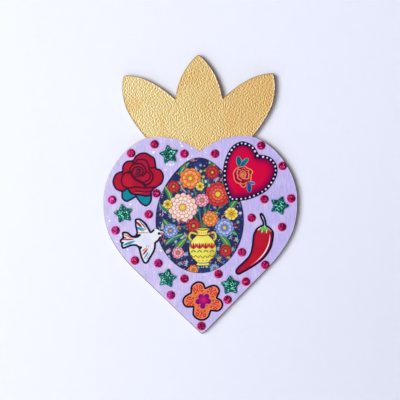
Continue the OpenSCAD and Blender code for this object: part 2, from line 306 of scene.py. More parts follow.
class Shader:
    """One material's nodes."""

    def __init__(self, name):
        self.material = bpy.data.materials.new(name)
        self.material.use_nodes = True
        self.tree = self.material.node_tree
        self.tree.nodes.clear()

    def node(self, kind, settings=None, values=None, out=0):
        """A node of a kind: first its settings, then its sockets' values or links."""
        made = self.tree.nodes.new("ShaderNode" + kind)
        for key, value in (settings or {}).items():
            setattr(made, key, value)
        for key, value in (values or {}).items():
            if isinstance(value, Wire):
                self.tree.links.new(value.socket, made.inputs[key])
            else:
                made.inputs[key].default_value = value
        return Wire(self, made.outputs[out]) if made.outputs else None

    def place(self, stretch=(1, 1, 1), turn=0.0, shift=0.0):
        """Object coordinates in mm, shrunk by stretch along each axis, then moved along X."""
        scale = [1 / (MM * s) for s in stretch]
        return self.node("Mapping", None, {
            "Vector": self.node("TexCoord", None, None, "Object"),
            "Location": (shift, 0, 0), "Rotation": (0, turn, 0), "Scale": scale})

    def noise(self, stretch, detail=3.0, roughness=0.55, turn=0.0, shift=0.0):
        return self.node("TexNoise", None, {
            "Vector": self.place(stretch, turn, shift), "Scale": 1.0, "Detail": detail,
            "Roughness": roughness})

    def chance(self, size, channel):
        """A random number for each cell of about a size."""
        cells = self.node("TexVoronoi", None, {
            "Vector": self.place((size, size, size)), "Scale": 1.0}, "Color")
        return self.node("SeparateColor", None, {0: cells}, channel)

    def part(self, vector, axis):
        """One of the three numbers of a place or a direction."""
        return self.node("SeparateXYZ", None, {0: vector}, axis)

    def ink(self):
        """The colour that is kept at the piece's points or faces."""
        return self.node("Attribute", {"attribute_name": "ink"}, None, "Color")

    def mix(self, share, a, b, how="MIX"):
        """Two colours mixed by a share, each a wire, three numbers or six hex digits."""
        a, b = (c if isinstance(c, Wire) else (*shade(c), 1.0) for c in (a, b))
        return self.node(
            "Mix", {"data_type": "RGBA", "blend_type": how}, {0: share, 6: a, 7: b}, 2)

    def lit(self, colour, factor):
        """A colour times a number that changes over the surface."""
        grey = self.node("CombineColor", None, {0: factor, 1: factor, 2: factor})
        return self.mix(1.0, colour, grey, "MULTIPLY")

    def bump(self, height, distance):
        return self.node("Bump", None, {
            "Height": height, "Distance": distance * MM, "Strength": 1.0})

    def finish(self, **sockets):
        """Ends the material in one Principled surface: names' spaces are underscores."""
        values = {key.replace("_", " "): value for key, value in sockets.items()}
        surface = self.node("BsdfPrincipled", None, values)
        self.node("OutputMaterial", None, {"Surface": surface})
        return self.material


def printed_card():
    """Laminated print: its ink with a fine mottle, a satin film over it."""
    s = Shader("printed_card")
    mottle = s.noise((0.6, 0.6, 0.6))
    film = s.noise((3, 3, 3))
    return s.finish(
        Base_Color=s.lit(s.ink(), 0.9 + 0.2 * mottle), Roughness=0.3 + 0.2 * film,
        Normal=s.bump(mottle, 0.01), Specular_IOR_Level=0.06)


def lilac_paint():
    """Chalky paint with the brush's upright streaks."""
    s = Shader("lilac_paint")
    streak = s.noise((0.8, 1, 8), 3)
    grain = s.noise((0.5, 0.5, 0.9), 2)
    return s.finish(
        Base_Color=s.lit(s.ink(), 0.57 + 0.7 * streak + 0.18 * grain),
        Roughness=0.45 + 0.2 * grain, Normal=s.bump(streak + 0.5 * grain, 0.08),
        Specular_IOR_Level=0.15)


def gold_paint():
    """Metallic paint in short upright strokes, each with a painted light flank and a painted dark
    flank, as the strokes' relief would look lit from the left.
    """
    s = Shader("gold_paint")
    stroke = s.noise((0.72, 1, 1.3), 0, 0.5, 0.03)
    # Painted light and shade: a stroke's height less that of the stroke beside it, as light from the
    # left shows a relief
    painted_stroke_light = stroke - s.noise((0.72, 1, 1.3), 0, 0.5, 0.03, 1.1)
    speckle = s.noise((0.5, 1, 0.7), 0)
    sweep = s.noise((2.5, 2, 12), 2)
    tone = 0.955 + 1.6 * painted_stroke_light + 0.6 * (speckle - 0.5) + 0.2 * (sweep - 0.5)
    # Painted light: the lit flanks paler and yellower, the shaded flanks warmer
    painted_light_tint = s.mix(painted_stroke_light.between(-0.2, 0.2), (1.07, 0.93, 0.74), (0.96, 1.05, 1.26))
    return s.finish(
        Base_Color=s.lit(s.mix(1.0, s.ink(), painted_light_tint, "MULTIPLY"), tone), Metallic=0.15,
        Roughness=0.4 + 0.25 * sweep, Normal=s.bump(stroke, 0.3), Specular_IOR_Level=0.2)


def board_wood():
    """Laser-cut board: bare fibres behind, and round the edge a scorched wall, dark violet
    on the heart and brown on the crown."""
    s = Shader("board_wood")
    behind = s.part(s.node("TexCoord", None, None, "Normal"), "Y").between(0.5, 0.9)
    fibre = s.noise((0.6, 0.6, 11), 5)
    fleck = s.noise((0.4, 0.4, 1.2), 3)
    bare = s.mix(fibre.between(0.35, 0.65), "9c7a50", "c4a376")
    bare = s.lit(bare, 0.8 + 0.4 * fleck)
    crown = s.part(s.place(), "Z").between(*SCORCH_TURN)
    scorch = s.mix(crown, "1c1336", "5a3c28")
    scorch = s.lit(scorch, 0.4 + 1.2 * fleck)
    return s.finish(
        Base_Color=s.mix(behind, scorch, bare), Roughness=0.6 + 0.3 * fibre,
        Normal=s.bump(fibre + 0.4 * fleck, 0.05))


def glitter_foam():
    """Flakes of foil in a clear binder on foam, one tone to a facet."""
    s = Shader("glitter_foam")
    speck = s.noise((0.25, 0.25, 0.25), 2)
    return s.finish(
        Base_Color=s.lit(s.ink(), 0.7 + 0.6 * speck), Metallic=0.1,
        Roughness=0.35 + 0.25 * speck, Normal=s.bump(speck, 0.02), Specular_IOR_Level=0.15)


def iridescent_flake():
    """Thin plastic flakes that lie in the paint."""
    s = Shader("iridescent_flake")
    sheen = s.noise((1.5, 1.5, 1.5), 2)
    return s.finish(
        Base_Color=s.lit(s.ink(), 0.85 + 0.3 * sheen), Metallic=0.1,
        Roughness=0.15 + 0.2 * sheen, Coat_Weight=0.4, Coat_Roughness=0.1)


# Sizes of the patches and of the painted glints in a stone
PATCH_SIZE = 1.25
PAINTED_GLINT_SIZE = 0.68


def ruby_stone(name, deep, mid, painted_glint_tone):
    """Foil-backed acrylic with painted light and shade: a dark rim painted where facets turn
    away, painted darkest at the right, away from the lamp, a table of light and dark
    patches, and painted glints where the foil would throw light back."""
    s = Shader(name)
    normal = s.node("TexCoord", None, None, "Normal")
    # Painted shade: darker where a facet turns aside, and darkest where it faces right, away from the
    # lamp
    front = (0 - s.part(normal, "Y")).between(0.25, 0.95)
    front = front * (1 - 0.75 * s.part(normal, "X").between(0.1, 0.7))
    patch = s.chance(PATCH_SIZE, "Red")
    point = s.chance(PAINTED_GLINT_SIZE, "Green")
    body = s.mix(0.15 + 0.8 * front * patch.between(0.1, 0.8), deep, mid)
    # Painted glints: points of light where the foil would throw the lamp back
    painted_glint = point.between(0.8, 0.86) * (0.1 + 0.7 * front)
    return s.finish(
        Base_Color=s.mix(painted_glint, body, painted_glint_tone), Roughness=0.2 + 0.15 * patch,
        Specular_IOR_Level=0.1, Coat_Weight=0.1, Coat_Roughness=0.08)


def stamped_brass(name, pale, dark):
    """Plated sheet metal with fine lines along its length and a few darker spots."""
    s = Shader(name)
    line = s.noise((14, 0.25, 0.25), 4)
    spot = s.noise((2.2, 2.2, 2.2), 3)
    base = s.mix(spot.between(0.55, 0.75), pale, dark)
    return s.finish(
        Base_Color=s.lit(base, 0.85 + 0.3 * line), Metallic=0.9,
        Roughness=0.28 + 0.25 * line, Normal=s.bump(line, 0.01))


# Artwork

class Art:
    """Artwork on one cut-out, worked out at the vertices of its lattice. Places are
    hundredths of the cut-out's box from its middle; widths and radii are mm."""

    # Widths in mm of every shape's soft edge and of a bloom's pen line and a leaf's rib
    soft, pen = 0.18, 0.3
    # A bloom's notches between petals, its step from ring to ring and its heart, as shares
    petal_notch, ring_step, heart = 0.16, 0.26, 0.2

    def __init__(self, node, cell, ground):
        self.node = node
        self.outline = front_rim(node)
        low, high = self.outline.min((0, 1)), self.outline.max((0, 1))
        self.middle, self.size = (low + high) / 2, high - low
        self.net = Lattice(lambda x, z: depth_in(self.outline, x, z), low, high, cell)
        self.x, self.z = self.net.x, self.net.z
        self.depth = depth_in(self.outline, self.x, self.z)
        self.tones = np.tile(shade(ground), (len(self.x), 1))

    def at(self, places):
        return self.middle + np.asarray(places, float) / 100 * self.size

    def cover(self, inside):
        """Share of a point that lies in a shape, from its distance inside the shape's edge."""
        return np.clip(0.5 + inside / self.soft, 0, 1)

    def window(self, places, reach):
        """Numbers of the vertices that lie near some places."""
        low, high = places.min(0) - reach, places.max(0) + reach
        return np.nonzero(
            (self.x > low[0]) & (self.x < high[0]) & (self.z > low[1]) & (self.z < high[1]))[0]

    def tint(self, share, colour, where=slice(None)):
        self.tones[where] = blend(self.tones[where], colour, share)

    def border(self, width, colour, start=0.0):
        """A band along the cut-out's own edge."""
        self.tint(self.cover(start + width - self.depth) * self.cover(self.depth - start), colour)

    def fill(self, points, colour, bend=True, amount=1.0):
        """Fills a closed outline, soft or with straight sides."""
        path = self.at(points)
        path = smooth(path, closed=True) if bend else np.concatenate([path, path[:1]])
        w = self.window(path, 0.5)
        inside = depth_in(span_edges(path), self.x[w], self.z[w])
        self.tint(amount * self.cover(inside), colour, w)

    def line(self, points, width, colour, thin=0.0, closed=False):
        """A pen line through places. It gets thinner towards both ends by the share thin."""
        path = smooth(self.at(points), closed)
        w = self.window(path, width)
        x, z = self.x[w], self.z[w]
        near, along = np.full(x.shape, 1e9), np.zeros(x.shape)
        last = len(path) - 1
        for i, (start, end) in enumerate(span_edges(path)):
            away, t = to_edge(x, z, start, end)
            along = np.where(away < near, (i + t) / last, along)
            near = np.minimum(near, away)
        half = width / 2 * (1 - thin * (2 * along - 1) ** 2)
        self.tint(self.cover(half - near), colour, w)

    def dots(self, places, radius, colour, amount=1.0):
        for place in self.at(places):
            w = self.window(place[None], radius + 1)
            away = np.hypot(self.x[w] - place[0], self.z[w] - place[1])
            self.tint(amount * self.cover(radius - away), colour, w)

    def glow(self, place, radius, colour, amount, within=None):
        """A soft patch that fades with the square of the distance, if need be only within a
        closed outline."""
        place = self.at(place)
        away = np.hypot(self.x - place[0], self.z - place[1]) / radius
        share = amount * np.exp(-away ** 2)
        if within is not None:
            rim = span_edges(smooth(self.at(within), closed=True))
            share = share * self.cover(depth_in(rim, self.x, self.z))
        self.tint(share, colour)

    def blade(self, base, tip, width, colour, bend=0.0, round_tip=0.6, rib=None):
        """A leaf, petal or feather: about the line from base to tip, bowed aside by bend of
        its length, its half width is a sine along the line to the power round_tip."""
        base, tip = self.at(base), self.at(tip)
        length = np.hypot(*(tip - base))
        ahead = (tip - base) / length
        w = self.window(np.stack([base, tip]), width + abs(bend) * length)
        dx, dz = self.x[w] - base[0], self.z[w] - base[1]
        t = (dx * ahead[0] + dz * ahead[1]) / length
        side = dz * ahead[0] - dx * ahead[1] - bend * length * 4 * t * (1 - t)
        within = (t > 0) & (t < 1)
        half = width / 2 * np.sin(math.pi * np.clip(t, 0, 1)) ** round_tip
        self.tint(self.cover(half - np.abs(side)) * within, colour, w)
        if rib:
            inner = within & (t > 0.08) & (t < 0.9)
            self.tint(self.cover(self.pen / 2 - np.abs(side)) * inner, rib, w)

    def leaf(self, base, tip, width, colour, bend):
        """A leaf with a dark edge and a pale rib."""
        self.blade(base, tip, width + 0.7, "141a33", bend, 0.5)
        self.blade(base, tip, width, colour, bend, 0.75, "cfe3a0")

    def bloom(self, place, radius, petals, tones, turn):
        """A round flower, ring by ring from the outside. A ring's rim is its radius less a
        share that grows towards the valleys between petals, where the sine of half the
        petal count times the angle is zero. Its heart has seven seeds."""
        ink = "301024"
        centre = self.at(place)
        w = self.window(centre[None], radius + 1)
        dx, dz = self.x[w] - centre[0], self.z[w] - centre[1]
        away, angle = np.hypot(dx, dz), np.arctan2(dz, dx)
        for ring, (inner, outer) in enumerate(tones):
            size = radius * (1 - ring * self.ring_step)
            wave = np.abs(np.sin(petals * (angle - turn) / 2 + ring * math.pi / 2))
            inside = size * (1 - self.petal_notch * (1 - wave ** 0.7)) - away
            self.tint(self.cover(inside + self.pen), ink, w)
            fade = ramp(away / size, 0.35, 0.95)
            self.tint(self.cover(inside), blend(inner, outer, fade), w)
            valley = wave * 2 * away / petals
            rays = self.cover(self.pen * 0.35 - valley) * ramp(away / size, 0.35, 0.6)
            self.tint(rays * self.cover(inside), ink, w)
        self.tint(self.cover(radius * self.heart + self.pen - away), ink, w)
        self.tint(self.cover(radius * self.heart - away), "f2d14e", w)
        seeds = np.arange(7) * 2 * math.pi / 7
        reach = radius * self.heart * 0.6 * 100
        around = np.stack([np.cos(seeds), np.sin(seeds)], 1) * reach / self.size
        self.dots(np.asarray(place) + around, 0.22, "5a2a10")


NAVY = "160b36"
CARD_EDGE = "3a3248"


def add_print(art, name, lap=None):
    """The card of a cut-out. Where lap gives the depth inside the middle print, the card
    climbs onto that print by one thickness, outside its edge."""
    front, back = BOARD_FACE - CARD, BOARD_FACE
    if lap is not None:
        front = front - CARD * ramp(lap, -6.0, -0.2)
        back = back - CARD * ramp(lap, -0.7, -0.1)
    piece = add_slab(
        name, art.net, front, back, art.tones, CARD_EDGE, PRINTED)
    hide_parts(art.node)


def rose():
    """A rose over two leaves, its petals parted by pen lines round a spiral."""
    art = Art("rose_print", 0.2, "a8062e")
    for place, radius, tone in (
            ((-24, 25), 3.0, "b80c38"), ((-17, 26), 2.0, "b81624"), ((-40, -8), 4, "b00e2a"),
            ((-43, -16), 2.5, "b31a28"), ((8, 43), 5, "b0102e"), ((25, 32), 4, "ad0c3e"),
            ((38, 8), 4, "b81428"), ((36, -4), 5, "ad0e2e"), ((-22, -3), 5, "be0c3c"),
            ((-18, -11), 2.6, "b81e2a"), ((13, 3), 3.5, "b80c3a"), ((5, -20), 4, "a51236"),
            ((7, 31), 3.5, "a81246"), ((-2, 16), 4.2, "8c1442"), ((26, -8), 3, "b81432"),
            ((22, -25), 2.6, "92104a")):
        art.glow(place, radius, tone, 0.75)
    art.fill([(-70, -23), (-33, -23), (-24, -18.5), (-20, -16), (-15, -24), (-8, -27), (5, -28.5),
              (15, -30.5), (26, -28.5), (30, -18), (70, -18), (70, -70), (-70, -70)], "018294", False)
    pen = "4c0222"
    art.glow((-1.2, 14.5), 2.4, "9a2048", 0.5)
    art.line([(0, 15), (-1.6, 14.2), (-3, 15.6), (-2, 17.8), (0.6, 18), (2.4, 16.2), (2.2, 13.6),
              (0, 12.1), (-3, 12.6)], 0.68, "3a0e28", 0.1)
    for points, width in (
            ([(-12, 11), (-11.8, 14.5), (-9, 20), (-3, 23.4), (2.5, 23), (7, 21), (9.8, 16.5),
              (9.6, 12.2), (6, 8.2), (1, 6.2), (-5, 6)], 1.0),
            ([(-1.5, 19.4), (3, 18.8), (5, 15), (2.8, 10.6), (-1, 9), (-5, 11)], 0.8),
            ([(-16, 11), (-16, 17), (-14.5, 22), (-9, 28), (0, 29.5), (9, 27), (14.5, 19),
              (14.2, 12.5), (11, 8.5), (8, 6.5)], 1.1),
            ([(-4, 33.5), (-1, 36), (7, 37), (15, 35), (20, 28), (21.5, 18)], 1.1),
            ([(21.5, 18), (27, 11), (28.5, 4), (26, -3), (20, -8.5), (12, -10.5)], 1.3),
            ([(14, 13), (19, 13.5), (23, 9), (23.6, 5), (20.5, -0.5), (15, -3.5), (10, -5.5)], 1.0),
            ([(-20, 13.5), (-14, 13.5), (-10, 6), (-5, 0.5), (2, -3.5), (9, -6.5), (14, -13)], 1.9),
            ([(-20, 13.5), (-25.5, 12), (-30, 6.5), (-32.3, -1), (-31, -8), (-27, -12.5),
              (-18, -15), (-5, -13.5), (4, -14.5), (14, -15.5), (28, -14.5), (35, -16)], 1.2),
            ([(21.5, 21), (27, 21.3), (34, 22)], 1.1),
            ([(-10.5, 32.5), (-6, 30), (-1, 29.5)], 1.4),
            ([(-29.5, 15), (-30.5, 10)], 0.9),
            ([(-6, -21), (4, -22), (12, -22.8), (26, -22.5)], 0.8)):
        art.line(points, width, pen)
    art.line([(-8, -24.3), (2, -24), (8, -24.6)], 0.6, "c0405a", 0.6)
    art.dots([(9.5, -7.5), (12.5, -10.5)], 1.0, "2c0f3a", 0.9)
    art.line([(-36, -22.5), (-28, -20.5), (-21, -16.5), (-15, -24), (-8, -27.2), (5, -28.6),
              (15, -30.5), (28, -28.5)], 1.4, NAVY)
    art.line([(-4, -28), (-6, -33)], 1.2, NAVY)
    art.border(1.3, "230840")
    add_print(art, "rose_card")


def beaded_heart(lap):
    """A heart with a flower and leaves, and a row of beads in its dark border."""
    art = Art("beaded_heart_print", 0.22, "ce0040")
    art.glow((-22, -5), 7, "d80e38", 0.7)
    art.glow((16, -6), 8, "d2003e", 0.6)
    art.glow((-8, 30), 6, "c20042", 0.5)
    reach = 5.4 + 3.0 * ramp(art.x, *art.at([(-35, 0), (35, 0)])[:, 0])
    reach = reach + 2.8 * ramp(-art.z, *-art.at([(0, -20), (0, -42)])[:, 1])
    art.tint(0.95 * (1 - ramp(art.depth, 1.6, reach)), "5c0048")
    wide = 2.6 + 0.4 * ramp(art.z, *art.at([(0, 20), (0, 45)])[:, 1])
    art.tint(art.cover(wide - art.depth), NAVY)
    art.fill([(-11.7, 45.6), (-0.8, 41.4), (4.7, 34.6), (8.3, 28.8), (7.9, 21.2), (13.8, 22.1),
              (21, 21.6), (21, 32), (12, 45), (-5, 55)], NAVY, False)
    outer = [
        (-30.4, -3.8), (-28.8, -1.1), (-26, 3.4), (-21.3, 5.9), (-15.5, 7.4), (-9.3, 7.6),
        (-4.2, 4.4), (1.2, 2.1), (4.4, -1.8), (1.6, -6.6), (1.4, -12.5), (0.4, -16.8),
        (-4.2, -18.2), (-7.7, -19.9), (-8.6, -24.6), (-12.2, -26.8), (-16.4, -24.6),
        (-19.6, -20.6), (-25.1, -18.6), (-28.8, -13.2), (-29.5, -8.5)]
    art.fill(outer, "8a0420", True, 0.9)
    art.glow((-18, -11), 1.6, "b3142c", 0.7)
    art.glow((0, -4), 1.4, "8a1a10", 0.6)
    art.line(outer, 0.72, "f0806a", 0, True)
    art.line(outer[5:12], 0.7, "f4904e", 0.3)
    art.line([(-17.3, 1.9), (-21.3, 3), (-23.1, -1.1), (-23.8, -4.5), (-22.2, -7.7), (-23.1, -10.5),
              (-19.5, -14.2), (-15.8, -15.6)], 0.85, "f07c84", 0.4)
    art.line([(-18.4, -18.2), (-15.8, -21.4), (-11.5, -21.4), (-8.2, -19.3)], 0.6, "e0846a", 0.4)
    art.line([(-13.7, -12.2), (-8.6, -13.2), (-2.4, -12.2), (-3.1, -8.5), (-2, -5.8), (-3.5, -2.5),
              (-2.7, 0.2), (-6.4, 1.2)], 0.8, "f08484", 0.4)
    art.line([(-18.4, -3.8), (-16.9, -1.1), (-12.6, 0.6), (-8.6, -1.8), (-7.8, -6.5), (-9.3, -10.5),
              (-13.7, -11.5), (-17.7, -8.5)], 0.6, "e08262", 0, True)
    art.dots([(-12.8, -6)], 1.75, "dc8448", 0.95)
    art.line([(-14, -8.5), (-11.5, -7), (-11, -3.5)], 0.45, "a8502c", 0.4)
    art.line([(-15.1, 3.2), (-12.2, 4.9), (-9.3, 3.9), (-8.2, 1.5)], 0.55, "e07a48", 0.4)
    for base, tip, width, tone, glow in (
            ((-18.5, 7), (-21.5, 25.5), 3.3, "08586c", "3f9ca4"),
            ((-18, 8), (-2.5, 21.5), 2.7, "1c6a7c", "46a0a4"),
            ((-2, -19), (-2, -36.5), 2.9, "144a80", "3f80ac"),
            ((-3, -19), (9, -21.5), 1.7, "3a629a", "8a9ed0")):
        art.blade(base, tip, width + 0.8, glow, 0.0, 0.55)
        art.blade(base, tip, width - 0.3, tone, 0.0, 0.6)
    art.glow((-3.5, -20.5), 1.5, "44405e", 0.95)
    art.glow((-13, 10.5), 1.5, "24408a", 0.85)
    middles = art.outline.mean(1) - art.middle
    order = np.argsort(np.arctan2(middles[:, 1], middles[:, 0]))
    ring = np.concatenate([middles[order], middles[order[:1]]])
    lengths = np.concatenate([[0], np.cumsum(np.hypot(*np.diff(ring, axis=0).T))])

    def on_ring(spots):
        """Places on the outline, from how far along it they are."""
        return np.stack([
            np.interp(spots, lengths, ring[:, i], period=lengths[-1]) for i in (0, 1)], 1)

    # The beads are spaced evenly, the first one a little past the notch between the lobes
    beads, notch, past_notch, inset = 39, (18.5, 29), 0.8, 1.35
    start = past_notch + lengths[np.argmin(np.hypot(*(ring / art.size * 100 - notch).T))]
    spots = start + np.arange(beads) / beads * lengths[-1]
    ahead = on_ring(spots + 0.5) - on_ring(spots - 0.5)
    inward = np.stack([-ahead[:, 1], ahead[:, 0]], 1) / np.hypot(*ahead.T)[:, None]
    places = (on_ring(spots) + inset * inward) / art.size * 100
    draw = np.random.default_rng(SEED)
    for place in places:
        near = math.exp(-math.hypot(place[0] - 10, place[1] - 32) / 12)
        art.dots([place], draw.uniform(0.5, 0.68) + 0.2 * near, "ece9fb", draw.uniform(0.68, 1))
    add_print(art, "beaded_heart_card", depth_in(lap, art.x, art.z))


def dove(lap):
    """A white dove: each feather is a blade with a pale halo, then come thin lines."""
    art = Art("dove_print", 0.2, "e2e4f2")
    art.glow((8, 4), 6, "d6dcf0", 0.9)
    art.glow((14, -8), 4, "dfd8ec", 0.7)
    art.glow((34, 2), 3, "e8dfe2", 0.8)
    for base, tip, width, tone, halo in (
            ((6, 29), (-6, 41.5), 0.6, "e6bc98", "f6ece6"),
            ((0.5, 28.6), (-12.6, 43.2), 1.85, "7c2c35", "f0d8da"),
            ((5, 22), (-12, 30.5), 1.8, "2f86b4", "b5e0f0"),
            ((14, 17.8), (-10.5, 18.5), 0.95, "c9977a", "f6e6da"),
            ((-18, 6.5), (-42, 16), 1.1, "c28a6c", "fae0d4"),
            ((-18, 4), (-45, 3.6), 1.15, "ac3a50", "f6ccd0"),
            ((-15, 0.5), (-43, -9), 1.75, "3284b4", "bce6f4"),
            ((11, -14), (-1, -23), 1.15, "b98870", "f9dccf"),
            ((13, -16), (1, -31), 1.35, "8a3238", "f6d2d4"),
            ((14.5, -23), (3.5, -39), 1.25, "4f90c4", "d4eaf8"),
            ((18, -31), (9, -47), 0.7, "b4ada8", "f2efea")):
        art.blade(base, tip, width + 1.1, halo, 0.0, 0.5)
        art.blade(base, tip, width, tone, 0.0, 0.7)
    art.glow((1.5, 24), 1.0, "4fb8b4", 0.8)
    for feather, width, tone in (
            ([(-5, 44.6), (0, 38.4), (4.8, 32.6), (9, 26)], 0.75, "4e4652"),
            ([(4, 37.5), (9, 32), (13.5, 25.5)], 0.55, "8a8490"),
            ([(-2, 30.5), (3.5, 26.8), (9, 23.8)], 0.5, "4c3c44"),
            ([(-38, 13.5), (-30, 9.5), (-22, 6)], 0.4, "96644e"),
            ([(10, 18), (16, 17.6)], 0.5, "86828c"), ([(-24, 3.8), (-18, 4.2)], 0.45, "5c2436"),
            ([(8, -43), (13, -34), (17, -26)], 0.5, "6c6264"),
            ([(12, -45), (16.5, -37), (20, -30)], 0.4, "a89c9c"),
            ([(9, -13), (12, -9)], 0.45, "8a6658"), ([(13.5, -15), (16, -10)], 0.4, "8a8084")):
        art.line(feather, width, tone, 0.5)
    art.line([(19, -14), (19, -20), (17, -27)], 0.7, "c4dcea", 0.5)
    head = (art.x > art.at((28, 0))[0]) & (art.z > art.at((0, 10))[1])
    art.border(1.5, NAVY)
    art.tint(art.cover(art.depth - 0.4) * head * (art.depth < 1.75), "e6e8f2")
    art.line([(-22, 11.5), (-16, 9.8), (-10, 10.8), (-5, 13.3)], 2.3, NAVY, 0.2)
    art.fill([(-12, -10), (-6, -10.5), (0.5, -12.5), (-1.5, -16.5), (-5, -20), (-9, -16)], NAVY)
    for a, b, width in (((-46, 8.8), (-36, 7.4), 1.2), ((-48, -3), (-41, -3.2), 1.4),
                        ((-20, 8.4), (-14, 9), 1.1), ((2, -42), (3, -46), 1.2)):
        art.line([a, b], width, NAVY, 0.3)
    beak = [(40.9, 19.2), (45.4, 18.4), (49.4, 16.6), (46.4, 13.4), (43.2, 11), (41.2, 13.6)]
    art.fill(beak, "b46e76", False)
    art.dots([(38.3, 15.9)], 1.05, "1c2026")
    add_print(art, "dove_card", depth_in(lap, art.x, art.z))


def chili():
    """A chili with a dark flank, a highlight along its spine and a green cap."""
    art = Art("chili_print", 0.2, "b20f2b")
    art.glow((-2, -22), 5, "bf142c", 0.8)
    art.glow((12, 8), 6, "b81a36", 0.7)
    art.glow((-34, -43), 4, "a8143e", 0.9)
    art.fill([(40, 16), (50, 22), (55, 0), (45, -12), (22, -30), (-12, -44), (-10, -36), (2, -31),
              (15, -24), (26, -16), (34, -6), (38, 4)], "780a38", True, 0.9)
    art.tint(0.35 * (1 - ramp(art.depth, 1.2, 3.0)), "5c0a38")
    spine = [(39.5, 15), (38.5, 6), (34, -4.5), (25.5, -14.5), (14, -23), (2, -29.7), (-11.5, -35)]
    art.line(spine, 1.05, "dc6478", 0.8)
    art.line(spine[:-1], 0.6, "fff4f6", 0.9)
    art.fill([(8, 21.5), (14, 27), (20, 29.5), (29, 30), (37, 26.5), (42, 22), (35, 23.5), (33, 20),
              (30.5, 16), (28.5, 21.5), (24, 21), (18.5, 17), (17, 22)], "63b04f")
    art.line([(9, 22), (13, 24.5), (18, 27)], 0.9, "dfe6cf", 0.7)
    art.line([(18.5, 18), (20.5, 21), (22, 23)], 0.8, "d6dfb0", 0.7)
    art.line([(30.5, 17), (30.5, 20), (31, 22.5)], 0.8, "e0d2b4", 0.7)
    art.line([(34, 25), (39, 23), (43.5, 19.5)], 0.75, "efc4c4", 0.6)
    for gap in ([(22.5, 22.5), (23.5, 19)], [(28.5, 22), (28.5, 18.5)], [(16.5, 23), (14.5, 21)]):
        art.line(gap, 0.6, "3c2420", 0.3)
    art.glow((27, 25.5), 2.2, "6cc057", 0.7)
    stalk = art.window(art.at([(8, 31), (40, 60)]), 0.0)
    art.tint(np.ones(len(stalk)), NAVY, stalk)
    art.line([(20.5, 46), (24.5, 41), (27, 35), (27, 27.5)], 1.75, "b0d4b8", 0.35)
    art.border(1.4, "1e0a36")
    add_print(art, "chili_card")


def flower():
    """A flower of five petals, each with the same curls, round a lobed heart."""
    art = Art("flower_print", 0.2, "e66e48")
    for place, tone in (((-12, 32), "e6705a"), ((24, 22), "e66e5a"), ((31, -10), "e87256"),
                        ((-5, -34), "e87052"), ((-31, -1), "e8704e"), ((23, 7), "de7c34"),
                        ((-20, 16), "e07a3a"), ((10, -21), "d47c36"), ((-20, -10), "e07440")):
        art.glow(place, 3.2, tone, 0.8)
    art.border(0.3, "f4a58c", 1.45)
    pen = "b82c26"
    for place, lean in (((-12, 31), 108), ((25, 23), 42), ((31, -10), -18), ((-5, -33), -97),
                        ((-32, -1), 178)):
        across = np.array([math.cos(math.radians(lean)), math.sin(math.radians(lean))])
        aside = np.array([-across[1], across[0]])

        def local(points):
            return [np.asarray(place) + p * across + q * aside for p, q in points]
        art.line(local([(-9, -1), (-3, 1.5), (3, 0.5)]), 0.75, pen, 0.4)
        art.line(local([(3, 0.5), (7, -2), (8.5, 1.5)]), 0.7, pen, 0.4)
        for hand in (-1, 1):
            art.line(local([(-7, 4.5 * hand), (0, 5.5 * hand), (5.5, 8 * hand), (3, 11.5 * hand),
                            (-1.5, 10.5 * hand)]), 0.72, pen, 0.4)
            art.dots(local([(-1.8, 10 * hand)]), 0.62, "b03420")
            art.dots(local([(-9, 8.5 * hand)]), 0.7, "a23c1c")
    art.dots([(1.5, 18), (-14, 9), (10, -12), (-10, -13)], 0.5, "9c3418")
    lobes = [(-11, -1.5), (-4.2, 10.5), (9.5, 11), (14, -1), (0, -13)]
    art.dots([(1.3, 1.5)], 4.1, "e8638c", 0.5)
    art.dots(lobes, 2.3, "dd5a80", 0.7)
    art.dots(lobes, 1.95, "7c0270")
    art.dots([(1.3, 1.5)], 3.3, "8c0278")
    art.glow((2, 3), 2.0, "d4205c", 0.95)
    art.border(1.45, "240a2c")
    add_print(art, "flower_card")


